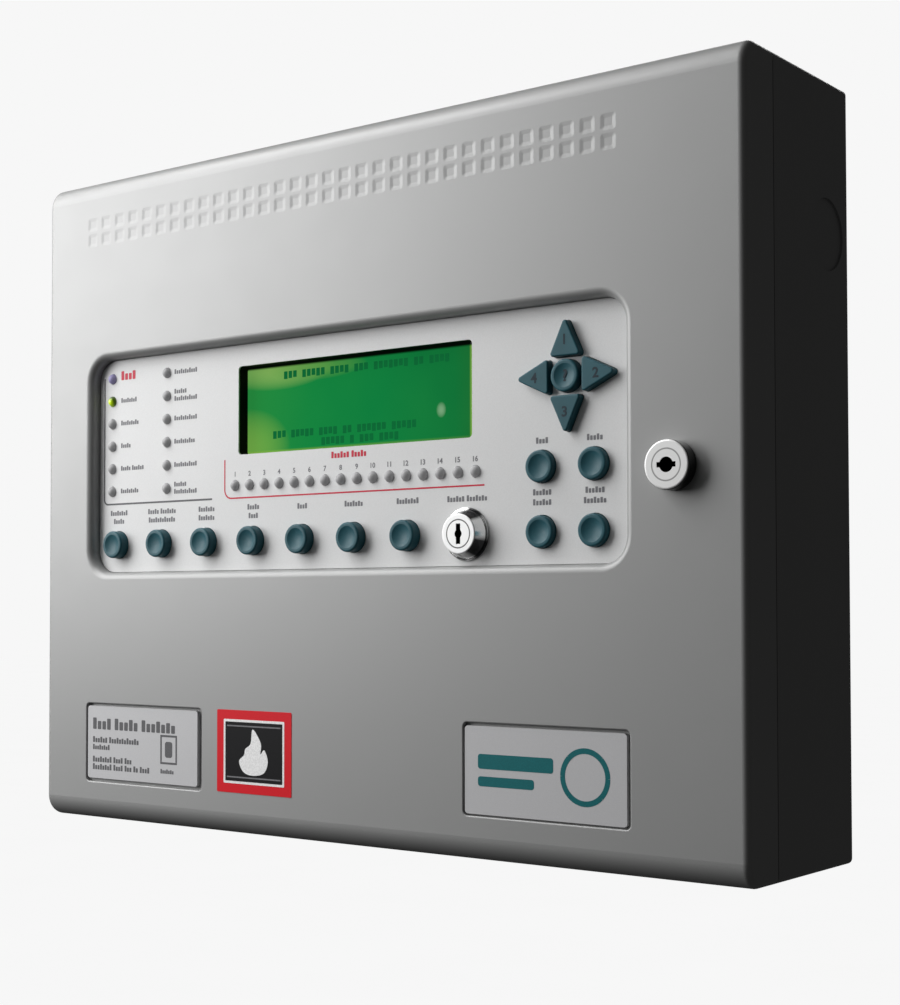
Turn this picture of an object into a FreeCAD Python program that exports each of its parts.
import FreeCAD, Part
import math
import os

# Wall-mounted fire alarm control panel, in millimetres.
# The origin is the centre of the four wall-fixing holes, on the back face that lies against the wall.
# +X runs to the right as the operator sees the panel, +Y runs into the wall and +Z runs up, so the
# door faces -Y. The door is drawn closed, with its lock turned to the open position.

V = FreeCAD.Vector
NEAR = 0.01                 # tolerance when an edge is picked by its place

# ---------------------------------------------------------------------------------------------
# Driving dimensions
# ---------------------------------------------------------------------------------------------

PANEL_WIDTH = 381.5
PANEL_HEIGHT = 312.3
PANEL_DEPTH = 90.0
HALF_W = PANEL_WIDTH / 2
HALF_H = PANEL_HEIGHT / 2
SIDE_ROUND = 2.5            # rounding of the outer corners and of the door's side edges

# Steel back box
SHEET = 1.5                 # sheet thickness
BOX_BACK = -SHEET           # inner face of the back wall
BOX_FRONT = -65.7           # front edge of the top, bottom and right walls
HINGE_WALL_FRONT = -63.0    # the left wall stops here, so the hinge's barrel lies in the seam
FLANGE = 10.0               # inward return flange round the mouth
WALL_HOLE_X = 165.0
WALL_HOLE_Z = 120.0
WALL_HOLE_R = 3.0
EARTH_X = 92.0
EARTH_Z = 2.0
EARTH_STUD_R = 2.5
EARTH_STUD_FRONT = -17.0
EARTH_NUT_FLATS = 8.0
EARTH_NUT_THICK = 4.0
EARTH_WASHER_R = 5.0
EARTH_WASHER_THICK = 1.0
KNOCKOUT_R = 10.0           # cable knockouts in the top wall
KNOCKOUT_GROOVE = 1.2       # width of the groove round a knockout
KNOCKOUT_DEPTH = 0.8
KNOCKOUT_PITCH = 45.0
KNOCKOUT_COUNT = 6
KNOCKOUT_Y = -30.0
SIDE_KNOCKOUT_R = 14.4
SIDE_KNOCKOUT_Y = -18.5
SIDE_KNOCKOUT_Z = 94.2

# Door shell
DOOR_WALL = 2.5
DOOR_FRONT = -PANEL_DEPTH
DOOR_REAR = -66.3           # 0.6 mm seam to the box
DOOR_EDGE_ROUND = 10.0      # rounding along the top and bottom of the door's face
HINGE_RELIEF_REAR = -69.5   # the door's rim is shorter beside the hinge
HINGE_RELIEF_WIDTH = 8.5

# Operator recess in the door
RECESS_X0 = -159.8
RECESS_X1 = 139.7
RECESS_Z0 = -36.8
RECESS_Z1 = 66.8
RECESS_ROUND = 11.0
RECESS_LIP_ROUND = 3.3
RECESS_FLOOR = -83.2        # front of the recess floor
FLOOR_BACK = RECESS_FLOOR + DOOR_WALL

# Fascia overlay on the recess floor
FASCIA_THICK = 0.8
FASCIA_FRONT = RECESS_FLOOR - FASCIA_THICK
FASCIA_GAP = 0.3            # gap to the recess wall

# Dimples at the top of the door
DIMPLE_COLUMNS = 32
DIMPLE_PITCH = 9.43
DIMPLE_X0 = -159.0
DIMPLE_ROWS_Z = (133.7, 125.9)
DIMPLE_WIDTH = 6.9
DIMPLE_HEIGHT = 6.6
DIMPLE_DEPTH = 0.2
DIMPLE_DRAFT = 1.7          # how far each side leans in at the bottom
DIMPLE_ROUND = 1.3

# Label recesses and what lies in them
LABEL_Z0 = -137.6
LABEL_Z1 = -100.0
LABEL_WIDTH = 77.8
LABEL_LEFT_X0 = -161.8
LABEL_RIGHT_X0 = 64.0
LABEL_RECESS_DEPTH = 2.2
LABEL_RECESS_ROUND = 2.0
LABEL_LIP_ROUND = 0.6
LABEL_BOSS_GROW = 2.0       # how far the thicker wall behind a label recess reaches past it
PLATE_THICK = 1.7
PLATE_ROUND = 1.5
INFO_PLATE = (-161.2, -87.0, -136.0, -101.2)    # x0, x1, z0, z1
BRAND_PLATE = (64.6, 140.2, -136.8, -101.3)
STICKER = (-73.8, -28.7, -137.0, -99.8)
STICKER_THICK = 0.15
STICKER_ROUND = 0.6

# Continuous hinge in the left seam
HINGE_X = -188.2
HINGE_Y = -66.0
HINGE_BARREL_R = 2.5
HINGE_BORE_R = 1.3
HINGE_PIN_R = 1.25
HINGE_HALF = 142.0
KNUCKLES = 11
KNUCKLE_GAP = 0.5
LEAF_THICK = 1.0
BOX_LEAF_WIDTH = 8.5
DOOR_LEAF_DEPTH = 14.0

# Display window and module
LCD_X0 = -66.8
LCD_X1 = 64.5
LCD_Z0 = 16.2
LCD_Z1 = 56.7
LCD_ROUND = 1.8
LCD_CENTRE_X = (LCD_X0 + LCD_X1) / 2
LCD_CENTRE_Z = (LCD_Z0 + LCD_Z1) / 2
GASKET_WALL = 2.0
GLASS_FRONT = -77.8
GLASS_THICK = 1.8
GLASS_HALF_W = 71.5
GLASS_HALF_H = 25.5
GLASS_ROUND = 0.5
FRAME_FRONT = -78.8
FRAME_WALL = 1.0
FRAME_WINDOW_GAP = 0.8      # from the gasket to the frame's window
FRAME_ROUND = 1.0
LCD_BOARD_FRONT = -70.2
LCD_BOARD_HALF_W = 79.0
LCD_BOARD_HALF_H = 31.0
BOARD_THICK = 1.6

# Display board behind the recess floor
DISPLAY_BOARD = (-157.0, 140.5, -34.5, 66.5)    # x0, x1, z0, z1
DISPLAY_BOARD_FRONT = -66.0
DISPLAY_BOARD_BACK = DISPLAY_BOARD_FRONT + BOARD_THICK
DISPLAY_FIXINGS_X = (-131.8, 84.2, 136.0)
DISPLAY_FIXINGS_Z = (-8.8, 61.2)
BOARD_ROUND = 2.0
SPACER_INSET = 4.0          # from the LCD board's edges to its spacers
FIXING_R = 3.0
SCREW_R = 1.5
SCREW_HEAD_R = 2.8
SCREW_HEAD_THICK = 2.0
SCREW_SLOT = 0.8
DISPLAY_SCREW_LENGTH = 8.0
MAIN_SCREW_LENGTH = 6.0
BUZZER_X = -62.0
BUZZER_Z = -16.0
BUZZER_R = 7.0
BUZZER_HEIGHT = 8.5
BUZZER_HOLE_R = 1.2
BUZZER_HOLE_DEPTH = 3.0

# Lamps
LAMP_R = 2.45
LAMP_DOME_Y = -83.7         # where the dome starts
LAMP_BACK = -76.0
LAMP_FLANGE_R = 2.9
LAMP_HOLE_R = 2.6
LAMP_FLANGE_THICK = 1.0
LAMP_LEG = 0.5
LAMP_LEG_X = 1.27           # from the lamp's centre to each leg
STATUS_COLUMNS_X = (-150.8, -113.3)
STATUS_Z0 = 2.7
STATUS_PITCH = 11.0
STATUS_ROWS = 6
LIT_ROW = 4                 # the power-on lamp's row in the left column, from the bottom
ZONE_X0 = -68.8
ZONE_Z = 2.2
ZONE_PITCH = 9.0
ZONE_COUNT = 16

# Keys
KEY_R = 6.5
KEY_FRONT = -88.8
SIDE_KEY_FRONT = -86.8
KEY_RIM_ROUND = 0.9
KEY_DISH_R = 4.8
KEY_DISH_DEPTH = 1.0
KEY_GAP = 0.3               # clearance round a key in its hole
KEY_FLANGE_R = 7.6
KEY_FLANGE_FRONT = -80.4
KEY_FLANGE_BACK = -79.4
KEY_STEM_R = 2.0
KEY_STEM_BACK = -70.5       # just clear of the switch behind it
ROW_KEY_X0 = -146.0
ROW_KEY_PITCH = 29.5
ROW_KEY_Z = -23.3
ROW_KEYS = 7
SIDE_KEYS = ((98.7, 2.5), (123.2, 2.5), (98.7, -23.5), (123.2, -23.5))

# Arrow keys round a centre key
CROSS_X = 111.4
CROSS_Z = 37.6
ARROW_FRONT = -87.4
CENTRE_KEY_FRONT = -87.6
ARROW_BASE = 7.7            # from the cross centre to the triangle's base
ARROW_APEX = 23.6           # to its sharp apex, before rounding
ARROW_HALF_BASE = 7.4
ARROW_ROUND = 1.2
ARROW_RIM_ROUND = 0.7
ARROW_FLANGE_GROW = 0.9
ARROW_FLANGE_BASE = 8.3
CENTRE_FLANGE_R = 7.2
ARROW_TURNS = {"key_up": 0, "key_right": 90, "key_down": 180, "key_left": 270}

# Tact switches on the display board
SWITCH_SIZE = 6.0
SWITCH_FRONT = -69.0
PLUNGER_R = 1.7
PLUNGER_FRONT = -69.6

# Enable key switch
KEY_SWITCH_X = 61.9
KEY_SWITCH_Z = -23.5
KEY_SWITCH_BASE_R = 11.0
KEY_SWITCH_BASE_THICK = 1.3
KEY_SWITCH_CONE_R = 10.2    # where the cone meets the base
KEY_SWITCH_FACE_R = 8.2
KEY_SWITCH_FRONT = -90.3
KEY_SWITCH_BARREL_R = 8.0
KEY_SWITCH_BACK = -60.5
KEY_SWITCH_PLUG_R = 6.0
KEY_SWITCH_PLUG_BACK = -70.0
KEY_SWITCH_BORE_BACK = -69.5
KEY_SWITCH_EDGE_ROUND = 0.6
KEYWAY_DEPTH = 8.0
KEYWAY_HALF_WIDTH = 1.1
KEYWAY_HALF_HEIGHT = 4.2
KEYWAY_WELL_R = 1.8
TAG_X = 4.0                 # from the switch's centre to each solder tag
TAG_HALF_WIDTH = 1.2
TAG_HALF_THICK = 0.4
TAG_FRONT = KEY_SWITCH_BACK - 0.5
TAG_BACK = KEY_SWITCH_BACK + 5.0
BOARD_HOLE_R = 9.0

# Door lock
LOCK_X = 161.2
LOCK_Z = -0.6
LOCK_HEAD_R = 9.5
LOCK_FRONT = -96.0
LOCK_BARREL_R = 8.0
LOCK_BARREL_BACK = -66.0
LOCK_PLUG_R = 6.0
LOCK_PLUG_BACK = -64.0
LOCK_EDGE_ROUND = 0.9
LOCK_KEYWAY_HALF_WIDTH = 4.0
LOCK_KEYWAY_HALF_HEIGHT = 1.0
LOCK_KEYWAY_DEPTH = 9.0
LOCK_WELL_R = 2.9
LOCK_WELL_DEPTH = 5.0
PLUG_GAP = 0.05             # running clearance of both plugs
CAM_FRONT = -62.0
CAM_BACK = -60.0
CAM_LENGTH = 24.0
CAM_WIDTH = 10.0
CAM_HUB_R = 7.0
CAM_SPIGOT_R = 3.5
CAM_NUT_FLATS = 10.0
CAM_NUT_BACK = -57.5
NUT_FLATS = 22.0
NUT_THICK = 3.0

# Main board on the back wall
MAIN_BOARD = (-155.0, 60.0, -28.0, 128.0)       # x0, x1, z0, z1
MAIN_BOARD_FRONT = -10.0
MAIN_BOARD_BACK = MAIN_BOARD_FRONT + BOARD_THICK
MAIN_FIXING_INSET = 6.0
TERMINAL_PITCH = 5.0
TERMINAL_WAYS = 8
TERMINAL_BLOCKS = 5
TERMINAL_HEIGHT = 13.0
TERMINAL_INSET = 8.0        # from the board's left edge to the first block
TERMINAL_BLOCK_GAP = 0.5
TERMINAL_Z = (112.0, 124.0)
ENTRY_DEPTH = 5.0           # depth of a terminal's wire entry
ENTRY_HALF_WIDTH = 1.6
ENTRY_SPAN = (6.0, 10.0)    # from the block's front to both sides of a wire entry
TERMINAL_WELL_R = 1.8
TERMINAL_WELL_DEPTH = 1.6
TERMINAL_SCREW_R = 1.7
TERMINAL_SCREW_DEPTH = 0.6  # how far a screw lies below the block's front
TERMINAL_SLOT_DEPTH = 0.5
TERMINAL_SLOT_HALF = 0.25
BATTERY_TERMINAL_X = 30.0
BATTERY_TERMINAL_Z = (-26.0, -16.0)
BATTERY_TERMINAL_WAYS = 4

# Parts on the main board
RELAY_X0 = -140.0
RELAY_PITCH = 24.0
RELAY_COUNT = 4
RELAY_WIDTH = 19.0
RELAY_HEIGHT = 15.0
RELAY_Z = (84.0, 100.0)
RELAY_ROUND = 0.8
FUSE_X0 = -38.0
FUSE_PITCH = 12.0
FUSE_COUNT = 6
FUSE_R = 2.5
FUSE_LENGTH = 20.0
FUSE_Z = 80.0
FUSE_RISE = 5.0             # from the board to the fuse's centre line
CLIPS_Z = (80.5, 95.5)
CLIP_LENGTH = 4.0
CLIP_HALF_WIDTH = 3.2
CLIP_OVERLAP = 1.0          # how far a clip reaches past the fuse's centre line
CAPACITOR_ROUND = 0.8
LARGE_CAN = (8.0, 22.0)     # radius, height
SMALL_CAN = (5.0, 14.0)
LARGE_CANS = ((48.0, 60.0), (48.0, 38.0))       # x, z
SMALL_CANS = ((27.0, 60.0), (27.0, 46.0))
PROCESSOR = (-75.0, -48.0, 25.0, 52.0)          # x0, x1, z0, z1
PROCESSOR_HEIGHT = 3.0
CHIP_COLUMNS_X = (-118.0, -30.0, -8.0)
CHIP_ROWS_Z = (5.0, 30.0, 55.0)
CHIP_WIDTH = 10.0
CHIP_LENGTH = 18.0
CHIP_HEIGHT = 3.5

# Power supply and mains terminals on the back wall
SUPPLY = (68.0, 148.0, 36.0, 138.0)             # x0, x1, z0, z1
SUPPLY_FRONT = -40.0
SUPPLY_ROUND = 1.0
SUPPLY_SLOTS = 13
SUPPLY_SLOT_PITCH = 6.0
SUPPLY_SLOT_INSET = (12.0, 14.0)                # from the case's sides and from its bottom
SUPPLY_SLOT_WIDTH = 2.5
SUPPLY_SLOT_DEPTH = 1.0
MAINS_X0 = 106.0
MAINS_Z = (-12.0, 14.0)
MAINS_FRONT = -20.0
MAINS_WAYS = 4
MAINS_PITCH = 11.0
MAINS_WELLS_Z = (-6.0, 8.0)
MAINS_WELL_R = 2.6
MAINS_WELL_BACK = -14.0
MAINS_ENTRY = (-12.0, -6.0, -4.0)               # y0, y1, top
MAINS_ENTRY_HALF = 2.2
MAINS_SLOT_BACK = -15.0
MAINS_SLOT_HALF = 0.6

# Batteries: 12 V 7 Ah blocks on a tray
BATTERY_LENGTH = 151.0
BATTERY_DEPTH = 65.0
BATTERY_HEIGHT = 94.0
BATTERY_GAP = 3.0
BATTERY_BASE = -143.0
BATTERY_BACK = -2.0
BATTERY_ROUND = 3.0
BATTERY_LID = 12.0          # height of the lid
LID_LINE = 0.8              # width and depth of the line below the lid
TAB_INSET = 12.0
TAB_WIDTH = 6.3
TAB_THICK = 0.8
TAB_HEIGHT = 6.5
TAB_Y = -53.0
TRAY_HALF_W = 156.0
TRAY_SHEET = 1.2
TRAY_DEPTH = 60.0
STRAP_Z = (-100.0, -80.0)
STRAP_THICK = 0.8
STRAP_GAP = 0.1
LEAD_R = 1.3
BEND_SHARE = 0.45           # a lead's bend takes this share of the shorter run beside it
LEAD_LOW = 3.0              # heights of the leads' corners above the batteries' tabs
LEAD_MIDDLE = 4.0
LEAD_HIGH = 10.0
LINK_HIGH = 11.0
POSITIVE_TURN = (112.0, -22.0)                  # x, y
NEGATIVE_TURNS = ((-112.0, -24.0), (-30.0, -17.0))

# Ribbon cable between the two boards
RIBBON_THICK = 0.9
RIBBON_Z = (0.0, 25.4)
RIBBON_MAIN_Y = -20.0
RIBBON_DISPLAY_Y = -54.5
RIBBON_OUT_X = -170.0
RIBBON_BEND = 7.0
SOCKET_X = (-150.0, -141.0)
SOCKET_Z = (-2.8, 28.2)
SOCKET_DEPTH = 11.5
SOCKET_STEP = 7.0           # from the board to the step where the plug begins
SOCKET_STEP_INSET = 1.4


# ---------------------------------------------------------------------------------------------
# Helpers
# ---------------------------------------------------------------------------------------------

def box(x0, x1, y0, y1, z0, z1):
    return Part.makeBox(x1 - x0, y1 - y0, z1 - z0, V(x0, y0, z0))


def rod(x, z, radius, y0, y1):
    """Round bar along Y."""
    return Part.makeCylinder(radius, y1 - y0, V(x, y0, z), V(0, 1, 0))


def post(x, y, radius, z0, z1):
    """Round bar along Z."""
    return Part.makeCylinder(radius, z1 - z0, V(x, y, z0), V(0, 0, 1))


def joined(shapes):
    """One solid from shapes that touch or overlap."""
    return shapes[0].multiFuse(shapes[1:]).removeSplitter()


def group(shapes):
    """Separate solids in one node."""
    return Part.makeCompound(shapes)


def rounded_outline(corners, radius, y):
    """Closed outline at depth y through convex (x, z) corners, each rounded to the radius."""
    count = len(corners)
    arcs = []
    for index in range(count):
        corner = V(corners[index][0], y, corners[index][1])
        before = V(corners[index - 1][0], y, corners[index - 1][1]) - corner
        after = V(corners[(index + 1) % count][0], y, corners[(index + 1) % count][1]) - corner
        before.normalize()
        after.normalize()
        half_angle = before.getAngle(after) / 2
        reach = radius / math.tan(half_angle)
        inward = before + after
        inward.normalize()
        middle = corner + inward * (radius / math.sin(half_angle) - radius)
        arcs.append((corner + before * reach, middle, corner + after * reach))
    edges = []
    for index, (start, middle, end) in enumerate(arcs):
        edges.append(Part.Arc(start, middle, end).toShape())
        edges.append(Part.LineSegment(end, arcs[(index + 1) % count][0]).toShape())
    return Part.Wire(edges)


def rectangle(x0, x1, z0, z1):
    return [(x0, z0), (x1, z0), (x1, z1), (x0, z1)]


def plate(corners, radius, y0, y1):
    """Plate from y0 to y1 with rounded corners."""
    return Part.Face(rounded_outline(corners, radius, y0)).extrude(V(0, y1 - y0, 0))


def hexagon(x, z, flats, y0, y1):
    """Hexagonal prism along Y, by its size across the flats."""
    radius = flats / 2 / math.cos(math.radians(30))
    points = []
    for index in range(7):
        angle = math.radians(60 * index)
        points.append(V(x + radius * math.cos(angle), y0, z + radius * math.sin(angle)))
    return Part.Face(Part.makePolygon(points)).extrude(V(0, y1 - y0, 0))


def edges_where(shape, test):
    return [edge for edge in shape.Edges if test(edge.BoundBox)]


def at_depth(y):
    """Test for edges that lie flat in the plane at depth y."""
    return lambda bounds: abs(bounds.YMin - y) < NEAR and abs(bounds.YMax - y) < NEAR


def row(first, pitch, count):
    return [first + pitch * index for index in range(count)]


# ---------------------------------------------------------------------------------------------
# Back box
# ---------------------------------------------------------------------------------------------

def round_outer_corners(shape):
    """Rounds the four outer corner edges that run along Y."""
    def outer_corner(bounds):
        flat_x = abs(abs(bounds.XMin) - HALF_W) < NEAR and bounds.XLength < NEAR
        flat_z = abs(abs(bounds.ZMin) - HALF_H) < NEAR and bounds.ZLength < NEAR
        return flat_x and flat_z
    return shape.makeFillet(SIDE_ROUND, edges_where(shape, outer_corner))


def top_knockout(x):
    """Ring groove round a cable knockout in the top wall."""
    base = V(x, KNOCKOUT_Y, HALF_H - KNOCKOUT_DEPTH)
    outer = Part.makeCylinder(KNOCKOUT_R + KNOCKOUT_GROOVE, KNOCKOUT_DEPTH, base)
    return outer.cut(Part.makeCylinder(KNOCKOUT_R, KNOCKOUT_DEPTH, base))


def side_knockout():
    """Hollow of the cable knockout in the right wall, whose whole disc is pressed in."""
    base = V(HALF_W - KNOCKOUT_DEPTH, SIDE_KNOCKOUT_Y, SIDE_KNOCKOUT_Z)
    return Part.makeCylinder(SIDE_KNOCKOUT_R, KNOCKOUT_DEPTH, base, V(1, 0, 0))


def back_box():
    inner_x = HALF_W - SHEET
    inner_z = HALF_H - SHEET
    outer = round_outer_corners(box(-HALF_W, HALF_W, BOX_FRONT, 0, -HALF_H, HALF_H))
    shell = outer.cut(box(-inner_x, inner_x, BOX_FRONT, BOX_BACK, -inner_z, inner_z))
    seam = HINGE_HALF + KNUCKLE_GAP
    shell = shell.cut(box(-HALF_W, -inner_x, BOX_FRONT, HINGE_WALL_FRONT, -seam, seam))
    flange_back = BOX_FRONT + SHEET
    hinge_flange_back = HINGE_WALL_FRONT + SHEET
    shell = joined([
        shell,
        box(-inner_x, inner_x, BOX_FRONT, flange_back, inner_z - FLANGE, inner_z),
        box(-inner_x, inner_x, BOX_FRONT, flange_back, -inner_z, FLANGE - inner_z),
        box(inner_x - FLANGE, inner_x, BOX_FRONT, flange_back, -inner_z, inner_z),
        box(-inner_x, FLANGE - inner_x, HINGE_WALL_FRONT, hinge_flange_back, -inner_z, inner_z),
    ])
    cutters = [side_knockout()]
    first = -KNOCKOUT_PITCH * (KNOCKOUT_COUNT - 1) / 2
    for x in row(first, KNOCKOUT_PITCH, KNOCKOUT_COUNT):
        cutters.append(top_knockout(x))
    for x in (-WALL_HOLE_X, WALL_HOLE_X):
        for z in (-WALL_HOLE_Z, WALL_HOLE_Z):
            cutters.append(rod(x, z, WALL_HOLE_R, BOX_BACK, 0))
    return shell.cut(cutters)


def earth_stud():
    """Threaded stud on the back wall with two nuts and a washer between them."""
    stud = rod(EARTH_X, EARTH_Z, EARTH_STUD_R, EARTH_STUD_FRONT, BOX_BACK)
    washer_back = BOX_BACK - EARTH_NUT_THICK
    washer_front = washer_back - EARTH_WASHER_THICK
    pieces = [
        hexagon(EARTH_X, EARTH_Z, EARTH_NUT_FLATS, washer_back, BOX_BACK),
        rod(EARTH_X, EARTH_Z, EARTH_WASHER_R, washer_front, washer_back),
        hexagon(EARTH_X, EARTH_Z, EARTH_NUT_FLATS, washer_front - EARTH_NUT_THICK, washer_front),
    ]
    return group([stud] + [piece.cut(stud) for piece in pieces])


# ---------------------------------------------------------------------------------------------
# Hinge
# ---------------------------------------------------------------------------------------------

def knuckle_spans(first):
    """(z0, z1) of every other knuckle, from knuckle number first."""
    length = 2 * HINGE_HALF / KNUCKLES
    spans = []
    for index in range(first, KNUCKLES, 2):
        low = -HINGE_HALF + length * index + KNUCKLE_GAP / 2
        spans.append((low, low + length - KNUCKLE_GAP))
    return spans


def hinge_bore():
    return post(HINGE_X, HINGE_Y, HINGE_BORE_R, -HINGE_HALF, HINGE_HALF)


def hinge_box_leaf():
    """Leaf on the box's left flange, with six knuckles."""
    leaf_front = HINGE_WALL_FRONT - LEAF_THICK
    leaf_x0 = HINGE_X + HINGE_BARREL_R + KNUCKLE_GAP
    leaf_x1 = HINGE_X + BOX_LEAF_WIDTH
    parts = [box(leaf_x0, leaf_x1, leaf_front, HINGE_WALL_FRONT, -HINGE_HALF, HINGE_HALF)]
    for z0, z1 in knuckle_spans(0):
        parts.append(box(HINGE_X, leaf_x0, leaf_front, HINGE_WALL_FRONT, z0, z1))
        parts.append(post(HINGE_X, HINGE_Y, HINGE_BARREL_R, z0, z1))
    return joined(parts).cut(hinge_bore())


def hinge_door_leaf():
    """Leaf inside the door's left rim, with five knuckles."""
    leaf_front = HINGE_Y - DOOR_LEAF_DEPTH
    leaf_rear = HINGE_Y - HINGE_BARREL_R - KNUCKLE_GAP
    leaf_x1 = HINGE_X + LEAF_THICK
    parts = [box(HINGE_X, leaf_x1, leaf_front, leaf_rear, -HINGE_HALF, HINGE_HALF)]
    for z0, z1 in knuckle_spans(1):
        parts.append(box(HINGE_X, leaf_x1, leaf_rear, HINGE_Y, z0, z1))
        parts.append(post(HINGE_X, HINGE_Y, HINGE_BARREL_R, z0, z1))
    return joined(parts).cut(hinge_bore())


def hinge_pin():
    return post(HINGE_X, HINGE_Y, HINGE_PIN_R, -HINGE_HALF, HINGE_HALF)


# ---------------------------------------------------------------------------------------------
# Door shell, fascia and plates
# ---------------------------------------------------------------------------------------------

def lid_block(inset, rear):
    """Solid door block, inset all round, with the long round edges at the top and bottom of its face."""
    half_w = HALF_W - inset
    half_h = HALF_H - inset
    front = DOOR_FRONT + inset
    radius = DOOR_EDGE_ROUND - inset
    sag = radius * (1 - math.sqrt(0.5))

    def at(y, z):
        return V(-half_w, y, z)

    def corner(side):
        """Arc from the top or bottom face, on this side of the middle, to the front face."""
        on_face = at(front + radius, side * half_h)
        middle = at(front + sag, side * (half_h - sag))
        return Part.Arc(on_face, middle, at(front, side * (half_h - radius))).toShape()

    edges = [
        Part.LineSegment(at(rear, -half_h), at(front + radius, -half_h)).toShape(),
        corner(-1),
        Part.LineSegment(at(front, radius - half_h), at(front, half_h - radius)).toShape(),
        corner(1),
        Part.LineSegment(at(front + radius, half_h), at(rear, half_h)).toShape(),
        Part.LineSegment(at(rear, half_h), at(rear, -half_h)).toShape(),
    ]
    return Part.Face(Part.Wire(edges)).extrude(V(2 * half_w, 0, 0))


def round_lid_sides(block):
    """Rounds the front outline of the block's two end faces."""
    def side_outline(bounds):
        on_end = abs(abs(bounds.XMin) - HALF_W) < NEAR and bounds.XLength < NEAR
        return on_end and bounds.YMin < DOOR_REAR - NEAR
    return block.makeFillet(SIDE_ROUND, edges_where(block, side_outline))


def dimple(x, z):
    """Cutter for one square dimple with leaning sides."""
    half_w = DIMPLE_WIDTH / 2
    half_h = DIMPLE_HEIGHT / 2
    wide = rectangle(x - half_w, x + half_w, z - half_h, z + half_h)
    half_w -= DIMPLE_DRAFT
    half_h -= DIMPLE_DRAFT
    narrow = rectangle(x - half_w, x + half_w, z - half_h, z + half_h)
    mouth = rounded_outline(wide, DIMPLE_ROUND, DOOR_FRONT)
    bottom = rounded_outline(narrow, DIMPLE_ROUND - DIMPLE_DRAFT / 2, DOOR_FRONT + DIMPLE_DEPTH)
    return Part.makeLoft([mouth, bottom], True, True)


def arrow_corners(grow, base):
    """Corners of the up arrow's triangle, grown sideways, with its base this far above the cross centre."""
    slope = ARROW_HALF_BASE / (ARROW_APEX - ARROW_BASE)
    apex = ARROW_APEX + grow / math.sin(math.atan(slope))
    half_base = (apex - base) * slope
    return [
        (CROSS_X - half_base, CROSS_Z + base),
        (CROSS_X + half_base, CROSS_Z + base),
        (CROSS_X, CROSS_Z + apex),
    ]


def turned(shape, angle):
    """Shape turned about the cross centre, clockwise as the operator sees it."""
    copy = shape.copy()
    copy.rotate(V(CROSS_X, 0, CROSS_Z), V(0, 1, 0), angle)
    return copy


def round_key_places():
    places = [(x, ROW_KEY_Z) for x in row(ROW_KEY_X0, ROW_KEY_PITCH, ROW_KEYS)]
    return places + list(SIDE_KEYS) + [(CROSS_X, CROSS_Z)]


def status_lamp_places():
    return [(x, z) for x in STATUS_COLUMNS_X for z in row(STATUS_Z0, STATUS_PITCH, STATUS_ROWS)]


def zone_lamp_places():
    return [(x, ZONE_Z) for x in row(ZONE_X0, ZONE_PITCH, ZONE_COUNT)]


def control_holes(y0, y1):
    """Cutters for every key and lamp hole and for the key switch, from y0 to y1."""
    cutters = [rod(KEY_SWITCH_X, KEY_SWITCH_Z, KEY_SWITCH_BARREL_R + PLUG_GAP, y0, y1)]
    for x, z in round_key_places():
        cutters.append(rod(x, z, KEY_R + KEY_GAP, y0, y1))
    for x, z in status_lamp_places() + zone_lamp_places():
        cutters.append(rod(x, z, LAMP_HOLE_R, y0, y1))
    corners = arrow_corners(KEY_GAP, ARROW_BASE - KEY_GAP)
    arrow = plate(corners, ARROW_ROUND + KEY_GAP, y0, y1)
    return cutters + [turned(arrow, angle) for angle in ARROW_TURNS.values()]


def label_recess(x0):
    corners = rectangle(x0, x0 + LABEL_WIDTH, LABEL_Z0, LABEL_Z1)
    return plate(corners, LABEL_RECESS_ROUND, DOOR_FRONT, DOOR_FRONT + LABEL_RECESS_DEPTH)


def label_boss(x0):
    """Thicker wall behind a label recess."""
    grow = LABEL_BOSS_GROW
    corners = rectangle(x0 - grow, x0 + LABEL_WIDTH + grow, LABEL_Z0 - grow, LABEL_Z1 + grow)
    inner = DOOR_FRONT + DOOR_WALL
    return plate(corners, LABEL_RECESS_ROUND + grow, inner, inner + LABEL_RECESS_DEPTH - grow / 2)


def lip_edges(shape, x0, x1, z0, z1):
    """Edges in the door's face plane that lie inside the given window."""
    flat = at_depth(DOOR_FRONT)

    def inside(bounds):
        in_x = bounds.XMin > x0 - NEAR and bounds.XMax < x1 + NEAR
        in_z = bounds.ZMin > z0 - NEAR and bounds.ZMax < z1 + NEAR
        return flat(bounds) and in_x and in_z
    return edges_where(shape, inside)


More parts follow.
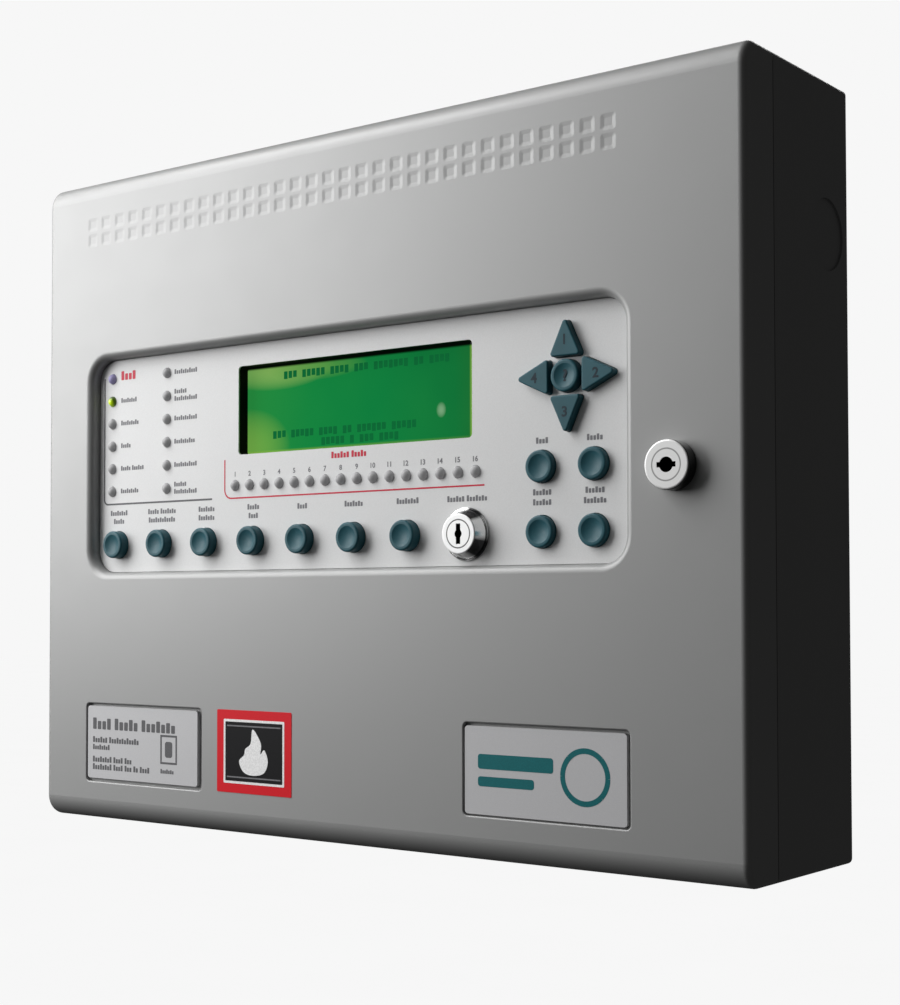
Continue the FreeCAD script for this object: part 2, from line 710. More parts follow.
def door_shell():
    shell = round_lid_sides(lid_block(0, DOOR_REAR)).cut(lid_block(DOOR_WALL, DOOR_REAR))
    relief_x = HINGE_RELIEF_WIDTH - HALF_W
    shell = shell.cut(box(-HALF_W, relief_x, HINGE_RELIEF_REAR, DOOR_REAR, -HALF_H, HALF_H))
    pocket = rectangle(RECESS_X0, RECESS_X1, RECESS_Z0, RECESS_Z1)
    tray = rectangle(
        RECESS_X0 - DOOR_WALL,
        RECESS_X1 + DOOR_WALL,
        RECESS_Z0 - DOOR_WALL,
        RECESS_Z1 + DOOR_WALL,
    )
    shell = joined([
        shell,
        plate(tray, RECESS_ROUND + DOOR_WALL, DOOR_FRONT + DOOR_WALL, FLOOR_BACK),
        label_boss(LABEL_LEFT_X0),
        label_boss(LABEL_RIGHT_X0),
    ])
    cutters = [
        plate(pocket, RECESS_ROUND, DOOR_FRONT, RECESS_FLOOR),
        label_recess(LABEL_LEFT_X0),
        label_recess(LABEL_RIGHT_X0),
    ]
    shell = shell.cut(cutters)
    lip = lip_edges(shell, RECESS_X0, RECESS_X1, RECESS_Z0, RECESS_Z1)
    shell = shell.makeFillet(RECESS_LIP_ROUND, lip)
    for x0 in (LABEL_LEFT_X0, LABEL_RIGHT_X0):
        lip = lip_edges(shell, x0, x0 + LABEL_WIDTH, LABEL_Z0, LABEL_Z1)
        shell = shell.makeFillet(LABEL_LIP_ROUND, lip)
    window = rectangle(
        LCD_X0 - GASKET_WALL - PLUG_GAP,
        LCD_X1 + GASKET_WALL + PLUG_GAP,
        LCD_Z0 - GASKET_WALL - PLUG_GAP,
        LCD_Z1 + GASKET_WALL + PLUG_GAP,
    )
    cutters = control_holes(RECESS_FLOOR, FLOOR_BACK)
    cutters.append(plate(window, LCD_ROUND + GASKET_WALL, RECESS_FLOOR, FLOOR_BACK))
    cutters.append(rod(LOCK_X, LOCK_Z, LOCK_BARREL_R + PLUG_GAP, DOOR_FRONT, DOOR_FRONT + DOOR_WALL))
    for x in row(DIMPLE_X0, DIMPLE_PITCH, DIMPLE_COLUMNS):
        for z in DIMPLE_ROWS_Z:
            cutters.append(dimple(x, z))
    return shell.cut(cutters)


def fascia():
    corners = rectangle(
        RECESS_X0 + FASCIA_GAP,
        RECESS_X1 - FASCIA_GAP,
        RECESS_Z0 + FASCIA_GAP,
        RECESS_Z1 - FASCIA_GAP,
    )
    overlay = plate(corners, RECESS_ROUND - FASCIA_GAP, FASCIA_FRONT, RECESS_FLOOR)
    cutters = control_holes(FASCIA_FRONT, RECESS_FLOOR)
    window = rectangle(LCD_X0, LCD_X1, LCD_Z0, LCD_Z1)
    cutters.append(plate(window, LCD_ROUND, FASCIA_FRONT, RECESS_FLOOR))
    return overlay.cut(cutters)


def label_plate(limits):
    """Plate that lies on the floor of a label recess, with its face just below the door's."""
    floor = DOOR_FRONT + LABEL_RECESS_DEPTH
    return plate(rectangle(*limits), PLATE_ROUND, floor - PLATE_THICK, floor)


def square_sticker():
    return plate(rectangle(*STICKER), STICKER_ROUND, DOOR_FRONT - STICKER_THICK, DOOR_FRONT)


# ---------------------------------------------------------------------------------------------
# Door lock and key switch
# ---------------------------------------------------------------------------------------------

def softened(shape, y, radius):
    """Rounds the edges at depth y."""
    return shape.makeFillet(radius, edges_where(shape, at_depth(y)))


def door_lock_body():
    head = rod(LOCK_X, LOCK_Z, LOCK_HEAD_R, LOCK_FRONT, DOOR_FRONT)
    head = softened(head, LOCK_FRONT, LOCK_EDGE_ROUND)
    barrel = rod(LOCK_X, LOCK_Z, LOCK_BARREL_R, DOOR_FRONT, LOCK_BARREL_BACK)
    bore = rod(LOCK_X, LOCK_Z, LOCK_PLUG_R + PLUG_GAP, LOCK_FRONT, LOCK_BARREL_BACK)
    return joined([head, barrel]).cut(bore)


def door_lock_plug():
    """Turning plug with a level keyway and, behind the barrel, the spigot that carries the cam."""
    plug = rod(LOCK_X, LOCK_Z, LOCK_PLUG_R, LOCK_FRONT, LOCK_PLUG_BACK)
    spigot = rod(LOCK_X, LOCK_Z, CAM_SPIGOT_R, LOCK_PLUG_BACK, CAM_NUT_BACK)
    keyway = box(
        LOCK_X - LOCK_KEYWAY_HALF_WIDTH,
        LOCK_X + LOCK_KEYWAY_HALF_WIDTH,
        LOCK_FRONT,
        LOCK_FRONT + LOCK_KEYWAY_DEPTH,
        LOCK_Z - LOCK_KEYWAY_HALF_HEIGHT,
        LOCK_Z + LOCK_KEYWAY_HALF_HEIGHT,
    )
    well = rod(LOCK_X, LOCK_Z, LOCK_WELL_R, LOCK_FRONT, LOCK_FRONT + LOCK_WELL_DEPTH)
    return joined([plug, spigot]).cut([keyway, well])


def door_lock_cam():
    """Cam that turns behind the box's right flange, and the nut that holds it."""
    end_z = LOCK_Z + CAM_LENGTH
    half = CAM_WIDTH / 2
    spigot = rod(LOCK_X, LOCK_Z, CAM_SPIGOT_R, LOCK_PLUG_BACK, CAM_NUT_BACK)
    hub = rod(LOCK_X, LOCK_Z, CAM_HUB_R, CAM_FRONT, CAM_BACK)
    arm = box(LOCK_X - half, LOCK_X + half, CAM_FRONT, CAM_BACK, LOCK_Z, end_z)
    nut = hexagon(LOCK_X, LOCK_Z, CAM_NUT_FLATS, CAM_BACK, CAM_NUT_BACK)
    return group([joined([hub, arm]).cut(spigot), nut.cut(spigot)])


def about_key_switch(radius, y0, y1):
    return rod(KEY_SWITCH_X, KEY_SWITCH_Z, radius, y0, y1)


def solder_tag(side):
    x = KEY_SWITCH_X + side * TAG_X
    z0 = KEY_SWITCH_Z - TAG_HALF_THICK
    z1 = KEY_SWITCH_Z + TAG_HALF_THICK
    return box(x - TAG_HALF_WIDTH, x + TAG_HALF_WIDTH, TAG_FRONT, TAG_BACK, z0, z1)


def key_switch_body():
    """Collar that tapers forward from a wide base, and the barrel behind it."""
    base_front = FASCIA_FRONT - KEY_SWITCH_BASE_THICK
    base = about_key_switch(KEY_SWITCH_BASE_R, base_front, FASCIA_FRONT)
    base = softened(base, base_front, KEY_SWITCH_EDGE_ROUND)
    apex = V(KEY_SWITCH_X, KEY_SWITCH_FRONT, KEY_SWITCH_Z)
    height = base_front - KEY_SWITCH_FRONT
    cone = Part.makeCone(KEY_SWITCH_FACE_R, KEY_SWITCH_CONE_R, height, apex, V(0, 1, 0))
    cone = softened(cone, KEY_SWITCH_FRONT, KEY_SWITCH_EDGE_ROUND)
    barrel = about_key_switch(KEY_SWITCH_BARREL_R, FASCIA_FRONT, KEY_SWITCH_BACK)
    bore = about_key_switch(KEY_SWITCH_PLUG_R + PLUG_GAP, KEY_SWITCH_FRONT, KEY_SWITCH_BORE_BACK)
    return joined([base, cone, barrel, solder_tag(-1), solder_tag(1)]).cut(bore)


def key_switch_plug():
    """Turning plug with an upright keyway."""
    plug = about_key_switch(KEY_SWITCH_PLUG_R, KEY_SWITCH_FRONT, KEY_SWITCH_PLUG_BACK)
    keyway_back = KEY_SWITCH_FRONT + KEYWAY_DEPTH
    keyway = box(
        KEY_SWITCH_X - KEYWAY_HALF_WIDTH,
        KEY_SWITCH_X + KEYWAY_HALF_WIDTH,
        KEY_SWITCH_FRONT,
        keyway_back,
        KEY_SWITCH_Z - KEYWAY_HALF_HEIGHT,
        KEY_SWITCH_Z + KEYWAY_HALF_HEIGHT,
    )
    well = about_key_switch(KEYWAY_WELL_R, KEY_SWITCH_FRONT, keyway_back)
    return plug.cut([keyway, well])


def panel_nuts():
    """Hexagon nuts that hold the lock in the door and the key switch in the recess floor."""
    lock_y = DOOR_FRONT + DOOR_WALL
    lock_nut = hexagon(LOCK_X, LOCK_Z, NUT_FLATS, lock_y, lock_y + NUT_THICK)
    lock_nut = lock_nut.cut(rod(LOCK_X, LOCK_Z, LOCK_BARREL_R, lock_y, lock_y + NUT_THICK))
    switch_nut = hexagon(KEY_SWITCH_X, KEY_SWITCH_Z, NUT_FLATS, FLOOR_BACK, FLOOR_BACK + NUT_THICK)
    barrel = rod(KEY_SWITCH_X, KEY_SWITCH_Z, KEY_SWITCH_BARREL_R, FLOOR_BACK, FLOOR_BACK + NUT_THICK)
    return group([lock_nut, switch_nut.cut(barrel)])


# ---------------------------------------------------------------------------------------------
# Display
# ---------------------------------------------------------------------------------------------

def about_lcd(half_w, half_h):
    x = LCD_CENTRE_X
    z = LCD_CENTRE_Z
    return rectangle(x - half_w, x + half_w, z - half_h, z + half_h)


def lcd_gasket():
    """Black surround between the fascia's window and the glass."""
    outer = rectangle(LCD_X0 - GASKET_WALL, LCD_X1 + GASKET_WALL, LCD_Z0 - GASKET_WALL, LCD_Z1 + GASKET_WALL)
    inner = rectangle(LCD_X0, LCD_X1, LCD_Z0, LCD_Z1)
    ring = plate(outer, LCD_ROUND + GASKET_WALL, RECESS_FLOOR, GLASS_FRONT)
    return ring.cut(plate(inner, LCD_ROUND, RECESS_FLOOR, GLASS_FRONT))


def lcd_glass():
    return plate(about_lcd(GLASS_HALF_W, GLASS_HALF_H), GLASS_ROUND, GLASS_FRONT, GLASS_FRONT + GLASS_THICK)


def lcd_frame():
    """Metal bezel that clamps the glass and the backlight to their board."""
    half_w = GLASS_HALF_W + FRAME_WALL
    half_h = GLASS_HALF_H + FRAME_WALL
    can = plate(about_lcd(half_w, half_h), FRAME_ROUND, FRAME_FRONT, LCD_BOARD_FRONT)
    hollow = plate(about_lcd(GLASS_HALF_W, GLASS_HALF_H), GLASS_ROUND, GLASS_FRONT, LCD_BOARD_FRONT)
    window_half_w = (LCD_X1 - LCD_X0) / 2 + GASKET_WALL + FRAME_WINDOW_GAP
    window_half_h = (LCD_Z1 - LCD_Z0) / 2 + GASKET_WALL + FRAME_WINDOW_GAP
    window = plate(about_lcd(window_half_w, window_half_h), LCD_ROUND, FRAME_FRONT, GLASS_FRONT)
    return can.cut([hollow, window])


def lcd_backlight():
    glass_back = GLASS_FRONT + GLASS_THICK
    return plate(about_lcd(GLASS_HALF_W, GLASS_HALF_H), GLASS_ROUND, glass_back, LCD_BOARD_FRONT)


def lcd_board():
    board_back = LCD_BOARD_FRONT + BOARD_THICK
    return plate(about_lcd(LCD_BOARD_HALF_W, LCD_BOARD_HALF_H), BOARD_ROUND, LCD_BOARD_FRONT, board_back)


def display_fixing_places():
    return [(x, z) for x in DISPLAY_FIXINGS_X for z in DISPLAY_FIXINGS_Z]


def display_board():
    board = plate(rectangle(*DISPLAY_BOARD), BOARD_ROUND, DISPLAY_BOARD_FRONT, DISPLAY_BOARD_BACK)
    cutters = [about_key_switch(BOARD_HOLE_R, DISPLAY_BOARD_FRONT, DISPLAY_BOARD_BACK)]
    for x, z in display_fixing_places():
        cutters.append(rod(x, z, SCREW_R, DISPLAY_BOARD_FRONT, DISPLAY_BOARD_BACK))
    return board.cut(cutters)


def screw(x, z, y, length, outward):
    """Screw whose slotted round head lies on the surface at depth y and points outward, +1 or -1 along Y."""
    head_end = y + outward * SCREW_HEAD_THICK
    head = rod(x, z, SCREW_HEAD_R, min(y, head_end), max(y, head_end))
    slot_start = y + outward * SCREW_HEAD_THICK / 2
    slot_y0 = min(slot_start, head_end)
    slot_y1 = max(slot_start, head_end)
    half = SCREW_SLOT / 2
    slot = box(x - SCREW_HEAD_R, x + SCREW_HEAD_R, slot_y0, slot_y1, z - half, z + half)
    tip = y - outward * length
    shank = rod(x, z, SCREW_R, min(y, tip), max(y, tip))
    return joined([head, shank]).cut(slot)


def display_fixings():
    """Pillars from the recess floor to the display board, with their screws, and the LCD board's spacers."""
    parts = []
    for x, z in display_fixing_places():
        fixing = screw(x, z, DISPLAY_BOARD_BACK, DISPLAY_SCREW_LENGTH, 1)
        parts.append(rod(x, z, FIXING_R, FLOOR_BACK, DISPLAY_BOARD_FRONT).cut(fixing))
        parts.append(fixing)
    spacer_y = LCD_BOARD_FRONT + BOARD_THICK
    for x, z in about_lcd(LCD_BOARD_HALF_W - SPACER_INSET, LCD_BOARD_HALF_H - SPACER_INSET):
        parts.append(rod(x, z, FIXING_R, spacer_y, DISPLAY_BOARD_FRONT))
    return group(parts)


def arrow_stem_place():
    """Where the up arrow's stem stands: the middle of its triangle."""
    return CROSS_X, CROSS_Z + ARROW_BASE + (ARROW_APEX - ARROW_BASE) / 3


def switch_places():
    places = round_key_places()
    stem_x, stem_z = arrow_stem_place()
    reach = stem_z - CROSS_Z
    for angle in ARROW_TURNS.values():
        turn = math.radians(angle)
        places.append((stem_x + reach * math.sin(turn), CROSS_Z + reach * math.cos(turn)))
    return places


def tact_switches():
    """One small push switch behind every key."""
    half = SWITCH_SIZE / 2
    switches = []
    for x, z in switch_places():
        case = box(x - half, x + half, SWITCH_FRONT, DISPLAY_BOARD_FRONT, z - half, z + half)
        plunger = rod(x, z, PLUNGER_R, PLUNGER_FRONT, SWITCH_FRONT)
        switches.append(joined([case, plunger]))
    return group(switches)


def buzzer():
    """Round sounder behind the display board, with its sound hole."""
    end = DISPLAY_BOARD_BACK + BUZZER_HEIGHT
    case = rod(BUZZER_X, BUZZER_Z, BUZZER_R, DISPLAY_BOARD_BACK, end)
    return case.cut(rod(BUZZER_X, BUZZER_Z, BUZZER_HOLE_R, end - BUZZER_HOLE_DEPTH, end))


# ---------------------------------------------------------------------------------------------
# Lamps and keys
# ---------------------------------------------------------------------------------------------

def lamp(x, z):
    """Domed lamp with its flange and two legs down to the display board."""
    parts = [
        rod(x, z, LAMP_R, LAMP_DOME_Y, LAMP_BACK),
        Part.makeSphere(LAMP_R, V(x, LAMP_DOME_Y, z)),
        rod(x, z, LAMP_FLANGE_R, LAMP_BACK - LAMP_FLANGE_THICK, LAMP_BACK),
    ]
    half = LAMP_LEG / 2
    for leg_x in (x - LAMP_LEG_X, x + LAMP_LEG_X):
        parts.append(box(leg_x - half, leg_x + half, LAMP_BACK, DISPLAY_BOARD_FRONT, z - half, z + half))
    return joined(parts)


def lamps(places):
    return group([lamp(x, z) for x, z in places])


def unlit_lamps():
    """The status lamps that are off at rest and the row of zone lamps, which are all alike."""
    status = status_lamp_places()
    del status[LIT_ROW]
    return lamps(status + zone_lamp_places())


def lit_lamp():
    return lamps([status_lamp_places()[LIT_ROW]])


def round_key(x, z, front, flange_r):
    """Round key with a dished face, the flange that stops it in its hole, and its stem."""
    cap = softened(rod(x, z, KEY_R, front, KEY_FLANGE_FRONT), front, KEY_RIM_ROUND)
    dish_r = (KEY_DISH_R ** 2 + KEY_DISH_DEPTH ** 2) / (2 * KEY_DISH_DEPTH)
    cap = cap.cut(Part.makeSphere(dish_r, V(x, front + KEY_DISH_DEPTH - dish_r, z)))
    flange = rod(x, z, flange_r, KEY_FLANGE_FRONT, KEY_FLANGE_BACK)
    stem = rod(x, z, KEY_STEM_R, KEY_FLANGE_BACK, KEY_STEM_BACK)
    return joined([cap, flange, stem])


def arrow_key(angle):
    """Three-cornered key, drawn pointing up and then turned."""
    cap = plate(arrow_corners(0, ARROW_BASE), ARROW_ROUND, ARROW_FRONT, KEY_FLANGE_FRONT)
    cap = softened(cap, ARROW_FRONT, ARROW_RIM_ROUND)
    flange_corners = arrow_corners(ARROW_FLANGE_GROW, ARROW_FLANGE_BASE)
    flange = plate(flange_corners, ARROW_ROUND, KEY_FLANGE_FRONT, KEY_FLANGE_BACK)
    stem_x, stem_z = arrow_stem_place()
    stem = rod(stem_x, stem_z, KEY_STEM_R, KEY_FLANGE_BACK, KEY_STEM_BACK)
    return turned(joined([cap, flange, stem]), angle)


# ---------------------------------------------------------------------------------------------
# Main board
# ---------------------------------------------------------------------------------------------

def main_board_fixing_places():
    x0, x1, z0, _ = MAIN_BOARD
    middle = (x0 + x1) / 2
    low = z0 + MAIN_FIXING_INSET
    high = TERMINAL_Z[0] - MAIN_FIXING_INSET
    inner_x = (x0 + MAIN_FIXING_INSET / 2, middle, x1 - MAIN_FIXING_INSET / 2)
    return [(x, z) for x in inner_x for z in (low, high)]


def main_board():
    board = plate(rectangle(*MAIN_BOARD), BOARD_ROUND, MAIN_BOARD_FRONT, MAIN_BOARD_BACK)
    holes = [rod(x, z, SCREW_R, MAIN_BOARD_FRONT, MAIN_BOARD_BACK) for x, z in main_board_fixing_places()]
    return board.cut(holes)


def board_fixings():
    """Pillars on the back wall that carry the main board, with their screws."""
    parts = []
    for x, z in main_board_fixing_places():
        fixing = screw(x, z, MAIN_BOARD_FRONT, MAIN_SCREW_LENGTH, -1)
        parts.append(rod(x, z, FIXING_R, MAIN_BOARD_BACK, BOX_BACK).cut(fixing))
        parts.append(fixing)
    return group(parts)


def terminal_screw(x, z, front):
    """Slotted screw below the front of a terminal block."""
    screw_front = front + TERMINAL_SCREW_DEPTH
    slot_back = screw_front + TERMINAL_SLOT_DEPTH
    head = rod(x, z, TERMINAL_SCREW_R, screw_front, front + TERMINAL_WELL_DEPTH)
    slot_x0 = x - TERMINAL_SCREW_R
    slot_x1 = x + TERMINAL_SCREW_R
    slot = box(slot_x0, slot_x1, screw_front, slot_back, z - TERMINAL_SLOT_HALF, z + TERMINAL_SLOT_HALF)
    return head.cut(slot)


def terminal_block(x0, z0, z1, ways, entry_up):
    """Block of screw terminals: wire entries along its outer edge and a screw in front of each."""
    front = MAIN_BOARD_FRONT - TERMINAL_HEIGHT
    block = box(x0, x0 + ways * TERMINAL_PITCH, front, MAIN_BOARD_FRONT, z0, z1)
    entry_z0, entry_z1 = (z1 - ENTRY_DEPTH, z1) if entry_up else (z0, z0 + ENTRY_DEPTH)
    entry_y0 = front + ENTRY_SPAN[0]
    entry_y1 = front + ENTRY_SPAN[1]
    middle = (z0 + z1) / 2
    centres = row(x0 + TERMINAL_PITCH / 2, TERMINAL_PITCH, ways)
    half = ENTRY_HALF_WIDTH
    cutters = []
    for x in centres:
        cutters.append(box(x - half, x + half, entry_y0, entry_y1, entry_z0, entry_z1))
        cutters.append(rod(x, middle, TERMINAL_WELL_R, front, front + TERMINAL_WELL_DEPTH))
    return [block.cut(cutters)] + [terminal_screw(x, middle, front) for x in centres]


def terminal_blocks():
    """Field wiring terminals along the top of the board and the battery terminals at its bottom."""
    z0, z1 = TERMINAL_Z
    parts = []
    first = MAIN_BOARD[0] + TERMINAL_INSET
    for x in row(first, TERMINAL_WAYS * TERMINAL_PITCH + TERMINAL_BLOCK_GAP, TERMINAL_BLOCKS):
        parts += terminal_block(x, z0, z1, TERMINAL_WAYS, True)
    z0, z1 = BATTERY_TERMINAL_Z
    parts += terminal_block(BATTERY_TERMINAL_X, z0, z1, BATTERY_TERMINAL_WAYS, False)
    return group(parts)


def relays():
    front = MAIN_BOARD_FRONT - RELAY_HEIGHT
    z0, z1 = RELAY_Z
    cases = []
    for x in row(RELAY_X0, RELAY_PITCH, RELAY_COUNT):
        case = box(x, x + RELAY_WIDTH, front, MAIN_BOARD_FRONT, z0, z1)
        cases.append(softened(case, front, RELAY_ROUND))
    return group(cases)


def fuses():
    """Glass fuses in pairs of clips."""
    centre_y = MAIN_BOARD_FRONT - FUSE_RISE
    clip_front = centre_y - CLIP_OVERLAP
    parts = []
    for x in row(FUSE_X0, FUSE_PITCH, FUSE_COUNT):
        glass = post(x, centre_y, FUSE_R, FUSE_Z, FUSE_Z + FUSE_LENGTH)
        parts.append(glass)
        for z in CLIPS_Z:
            clip_x0 = x - CLIP_HALF_WIDTH
            clip = box(clip_x0, x + CLIP_HALF_WIDTH, clip_front, MAIN_BOARD_FRONT, z, z + CLIP_LENGTH)
            parts.append(clip.cut(glass))
    return group(parts)


def cans(places, size):
    """Upright capacitors of one size."""
    radius, height = size
    front = MAIN_BOARD_FRONT - height
    return [softened(rod(x, z, radius, front, MAIN_BOARD_FRONT), front, CAPACITOR_ROUND) for x, z in places]


def capacitors():
    return group(cans(LARGE_CANS, LARGE_CAN) + cans(SMALL_CANS, SMALL_CAN))


def control_ics():
    """The processor and its memory and interface chips."""
    x0, x1, z0, z1 = PROCESSOR
    chips = [box(x0, x1, MAIN_BOARD_FRONT - PROCESSOR_HEIGHT, MAIN_BOARD_FRONT, z0, z1)]
    front = MAIN_BOARD_FRONT - CHIP_HEIGHT
    for x in CHIP_COLUMNS_X:
        for z in CHIP_ROWS_Z:
            chips.append(box(x, x + CHIP_WIDTH, front, MAIN_BOARD_FRONT, z, z + CHIP_LENGTH))
    return group(chips)


def power_supply():
    """Mains power supply in a slotted steel case."""
    x0, x1, z0, z1 = SUPPLY
    case = softened(box(x0, x1, SUPPLY_FRONT, BOX_BACK, z0, z1), SUPPLY_FRONT, SUPPLY_ROUND)
    inset_x, inset_z = SUPPLY_SLOT_INSET
    slot_back = SUPPLY_FRONT + SUPPLY_SLOT_DEPTH
    slots = []
    for z in row(z0 + inset_z, SUPPLY_SLOT_PITCH, SUPPLY_SLOTS):
        slots.append(box(x0 + inset_x, x1 - inset_x, SUPPLY_FRONT, slot_back, z, z + SUPPLY_SLOT_WIDTH))
    return case.cut(slots)


def mains_terminals():
    """Mains terminal block with a slot between neighbouring ways."""
    z0, z1 = MAINS_Z
    block = box(MAINS_X0, MAINS_X0 + MAINS_WAYS * MAINS_PITCH, MAINS_FRONT, BOX_BACK, z0, z1)
    entry_y0, entry_y1, entry_top = MAINS_ENTRY
    cutters = []
    for x in row(MAINS_X0 + MAINS_PITCH / 2, MAINS_PITCH, MAINS_WAYS):
        for z in MAINS_WELLS_Z:
            cutters.append(rod(x, z, MAINS_WELL_R, MAINS_FRONT, MAINS_WELL_BACK))
        cutters.append(box(x - MAINS_ENTRY_HALF, x + MAINS_ENTRY_HALF, entry_y0, entry_y1, z0, entry_top))
    for x in row(MAINS_X0 + MAINS_PITCH, MAINS_PITCH, MAINS_WAYS - 1):
        cutters.append(box(x - MAINS_SLOT_HALF, x + MAINS_SLOT_HALF, MAINS_FRONT, MAINS_SLOT_BACK, z0, z1))
    return block.cut(cutters)


# ---------------------------------------------------------------------------------------------
# Batteries and wiring
# ---------------------------------------------------------------------------------------------

def battery_x0(side):
    return BATTERY_GAP / 2 if side > 0 else -BATTERY_GAP / 2 - BATTERY_LENGTH


def battery_top():
    return BATTERY_BASE + BATTERY_HEIGHT


def tab_x(side, end):
    """Centre of a battery's tab. side picks the battery and end picks its left or right tab."""
    x0 = battery_x0(side)
    return x0 + TAB_INSET if end < 0 else x0 + BATTERY_LENGTH - TAB_INSET


def battery(side):
    """Sealed block with a lid line and two push-on tabs."""
    x0 = battery_x0(side)
    x1 = x0 + BATTERY_LENGTH
    front = BATTERY_BACK - BATTERY_DEPTH
    top = battery_top()
    case = box(x0, x1, front, BATTERY_BACK, BATTERY_BASE, top)

    def upright(bounds):
        return bounds.XLength < NEAR and bounds.YLength < NEAR

    case = case.makeFillet(BATTERY_ROUND, edges_where(case, upright))
    line_z0 = top - BATTERY_LID
    line_z1 = line_z0 + LID_LINE
    lid_line = box(x0, x1, front, BATTERY_BACK, line_z0, line_z1)
    keep = box(x0 + LID_LINE, x1 - LID_LINE, front + LID_LINE, BATTERY_BACK - LID_LINE, line_z0, line_z1)
    parts = [case.cut(lid_line.cut(keep))]
    half_thick = TAB_THICK / 2
    tab_y0 = TAB_Y - TAB_WIDTH / 2
    tab_y1 = TAB_Y + TAB_WIDTH / 2
    for end in (-1, 1):
        x = tab_x(side, end)
        parts.append(box(x - half_thick, x + half_thick, tab_y0, tab_y1, top, top + TAB_HEIGHT))
    return group(parts)


def battery_tray():
    """Low shelf that lifts the batteries over the box's bottom flange."""
    floor = -HALF_H + SHEET
    front = BATTERY_BACK - TRAY_DEPTH
    shelf = BATTERY_BASE - TRAY_SHEET
    parts = [box(-TRAY_HALF_W, TRAY_HALF_W, front, BATTERY_BACK, shelf, BATTERY_BASE)]
    for x in (-TRAY_HALF_W, -TRAY_SHEET / 2, TRAY_HALF_W - TRAY_SHEET):
        parts.append(box(x, x + TRAY_SHEET, front, BATTERY_BACK, floor, shelf))
    return joined(parts)


def battery_strap():
    """Strap round the front and ends of both batteries, fixed to the back wall."""
    inner_x = BATTERY_LENGTH + BATTERY_GAP / 2 + STRAP_GAP
    outer_x = inner_x + STRAP_THICK
    inner_y = BATTERY_BACK - BATTERY_DEPTH - STRAP_GAP
    z0, z1 = STRAP_Z
    outer = box(-outer_x, outer_x, inner_y - STRAP_THICK, BOX_BACK, z0, z1)
    return outer.cut(box(-inner_x, inner_x, inner_y, BOX_BACK, z0, z1))


def tube(points, radius):
    """Round lead along straight runs joined by tangent arcs."""
    edges = []
    start = points[0]
    for index in range(1, len(points) - 1):
        corner = points[index]
        back = points[index - 1] - corner
        ahead = points[index + 1] - corner
        run = min(back.Length, ahead.Length)
        back.normalize()
        ahead.normalize()
        half_angle = back.getAngle(ahead) / 2
        reach = BEND_SHARE * run
        bend = reach * math.tan(half_angle)
        inward = back + ahead
        inward.normalize()
        middle = corner + inward * (bend / math.sin(half_angle) - bend)
        entry = corner + back * reach
        leave = corner + ahead * reach
        edges.append(Part.LineSegment(start, entry).toShape())
        edges.append(Part.Arc(entry, middle, leave).toShape())
        start = leave
    edges.append(Part.LineSegment(start, points[-1]).toShape())
    path = Part.Wire(edges)
    direction = points[1] - points[0]
    section = Part.Wire([Part.Circle(points[0], direction, radius).toShape()])
    return path.makePipeShell([section], True, False)


def battery_leads():
    """The link between the batteries, and the two leads up to the main board."""
    start_z = battery_top() + TAB_HEIGHT
    terminal_z = BATTERY_TERMINAL_Z[0] + ENTRY_DEPTH
    terminal_y = MAIN_BOARD_FRONT - TERMINAL_HEIGHT + sum(ENTRY_SPAN) / 2
    ways_x = row(BATTERY_TERMINAL_X + TERMINAL_PITCH / 2, TERMINAL_PITCH, BATTERY_TERMINAL_WAYS)
    negative_x = ways_x[0]
    positive_x = ways_x[2]

    def over_tab(side, end, rise):
        return V(tab_x(side, end), TAB_Y, start_z + rise)

    link = [
        over_tab(-1, 1, 0),
        over_tab(-1, 1, LINK_HIGH),
        over_tab(1, -1, LINK_HIGH),
        over_tab(1, -1, 0),
    ]
    positive = [
        over_tab(1, 1, 0),
        over_tab(1, 1, LEAD_HIGH),
        V(*POSITIVE_TURN, start_z + LEAD_LOW),
        V(positive_x, terminal_y, start_z + LEAD_MIDDLE),
        V(positive_x, terminal_y, terminal_z),
    ]
    negative = [over_tab(-1, -1, 0), over_tab(-1, -1, LEAD_HIGH)]
    negative += [V(x, y, start_z + LEAD_LOW) for x, y in NEGATIVE_TURNS]
    negative += [
        V(negative_x, terminal_y, start_z + LEAD_MIDDLE),
        V(negative_x, terminal_y, terminal_z),
    ]
    return group([tube(link, LEAD_R), tube(positive, LEAD_R), tube(negative, LEAD_R)])


def ribbon_cable():
    """Flat cable that loops past the hinge, from the main board's socket to the display board's."""
    half = RIBBON_THICK / 2
    outer_x = RIBBON_OUT_X - half
    inner_x = RIBBON_OUT_X + half
    z0, z1 = RIBBON_Z
    outer = box(outer_x, SOCKET_X[0], RIBBON_DISPLAY_Y - half, RIBBON_MAIN_Y + half, z0, z1)
    inner = box(inner_x, SOCKET_X[0], RIBBON_DISPLAY_Y + half, RIBBON_MAIN_Y - half, z0, z1)

    def bend_edges(shape, x):
        def at_bend(bounds):
            return abs(bounds.XMin - x) < NEAR and bounds.XLength < NEAR and bounds.YLength < NEAR
        return edges_where(shape, at_bend)

    outer = outer.makeFillet(RIBBON_BEND + half, bend_edges(outer, outer_x))
    inner = inner.makeFillet(RIBBON_BEND - half, bend_edges(inner, inner_x))
    return outer.cut(inner)


def ribbon_socket(board_face, toward):
    """Box header with its plug, standing on a board face toward +1 or -1 along Y."""
    x0, x1 = SOCKET_X
    z0, z1 = SOCKET_Z
    far = board_face + toward * SOCKET_DEPTH
    step = board_face + toward * SOCKET_STEP
    body = box(x0, x1, min(board_face, far), max(board_face, far), z0, z1)
    low = min(step, far)
    high = max(step, far)
    inset = SOCKET_STEP_INSET
    return body.cut([box(x0, x1, low, high, z0, z0 + inset), box(x0, x1, low, high, z1 - inset, z1)])


# ---------------------------------------------------------------------------------------------
# All nodes
# ---------------------------------------------------------------------------------------------

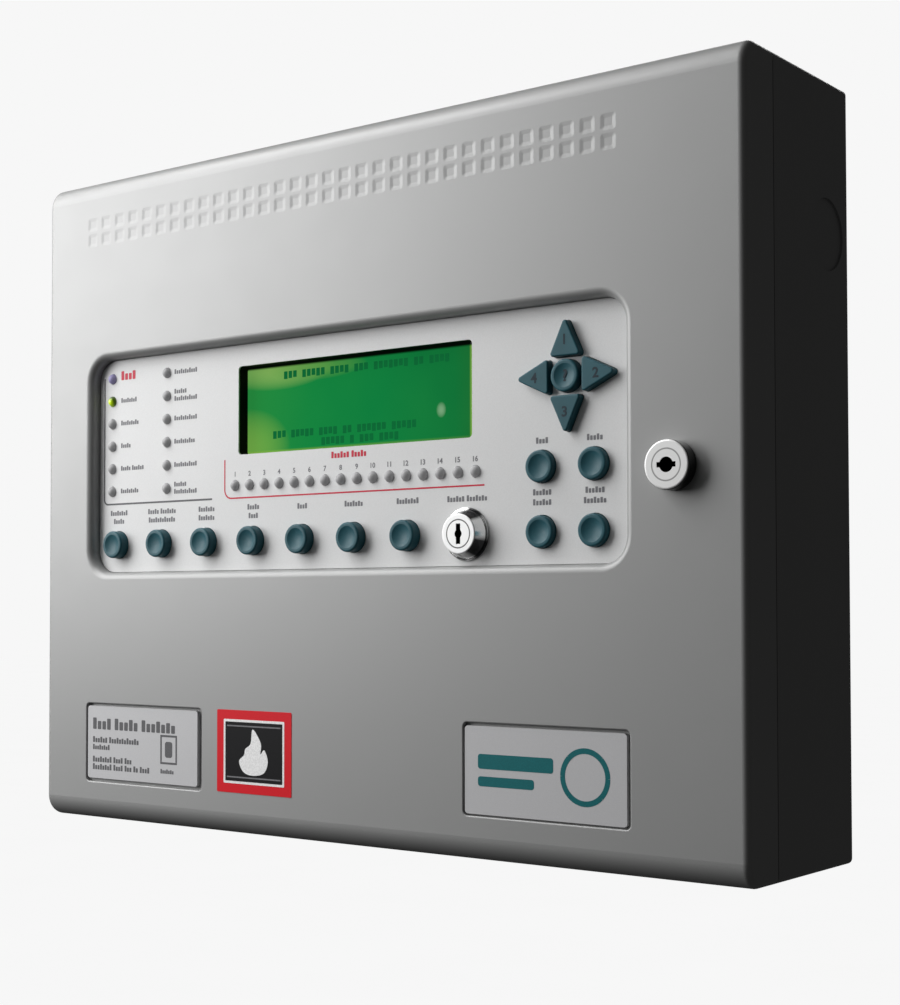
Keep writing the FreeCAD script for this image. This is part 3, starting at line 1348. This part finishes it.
def all_nodes():
    nodes = {
        "back_box": back_box(),
        "earth_stud": earth_stud(),
        "hinge_box_leaf": hinge_box_leaf(),
        "hinge_door_leaf": hinge_door_leaf(),
        "hinge_pin": hinge_pin(),
        "door_shell": door_shell(),
        "fascia": fascia(),
        "info_plate": label_plate(INFO_PLATE),
        "brand_plate": label_plate(BRAND_PLATE),
        "square_sticker": square_sticker(),
        "door_lock_body": door_lock_body(),
        "door_lock_plug": door_lock_plug(),
        "door_lock_cam": door_lock_cam(),
        "key_switch_body": key_switch_body(),
        "key_switch_plug": key_switch_plug(),
        "panel_nuts": panel_nuts(),
        "lcd_gasket": lcd_gasket(),
        "lcd_glass": lcd_glass(),
        "lcd_frame": lcd_frame(),
        "lcd_backlight": lcd_backlight(),
        "lcd_board": lcd_board(),
        "display_board": display_board(),
        "display_fixings": display_fixings(),
        "tact_switches": tact_switches(),
        "buzzer": buzzer(),
        "signal_lamps": unlit_lamps(),
        "power_lamp": lit_lamp(),
        "main_board": main_board(),
        "board_fixings": board_fixings(),
        "terminal_blocks": terminal_blocks(),
        "relays": relays(),
        "fuses": fuses(),
        "capacitors": capacitors(),
        "control_ics": control_ics(),
        "power_supply": power_supply(),
        "mains_terminals": mains_terminals(),
        "battery_left": battery(-1),
        "battery_right": battery(1),
        "battery_tray": battery_tray(),
        "battery_strap": battery_strap(),
        "battery_leads": battery_leads(),
        "ribbon_cable": ribbon_cable(),
        "main_socket": ribbon_socket(MAIN_BOARD_FRONT, -1),
        "display_socket": ribbon_socket(DISPLAY_BOARD_BACK, 1),
        "key_centre": round_key(CROSS_X, CROSS_Z, CENTRE_KEY_FRONT, CENTRE_FLANGE_R),
    }
    for index, x in enumerate(row(ROW_KEY_X0, ROW_KEY_PITCH, ROW_KEYS)):
        nodes["key_row_%d" % (index + 1)] = round_key(x, ROW_KEY_Z, KEY_FRONT, KEY_FLANGE_R)
    for index, (x, z) in enumerate(SIDE_KEYS):
        nodes["key_side_%d" % (index + 1)] = round_key(x, z, SIDE_KEY_FRONT, KEY_FLANGE_R)
    for name, angle in ARROW_TURNS.items():
        nodes[name] = arrow_key(angle)
    return nodes


def main():
    os.makedirs("parts", exist_ok=True)
    for name, shape in all_nodes().items():
        if not shape.isValid():
            print("not valid:", name)
        shape.exportStep("parts/%s.step" % name)
        print(name, len(shape.Solids), "solids, volume", round(shape.Volume, 1))


main()
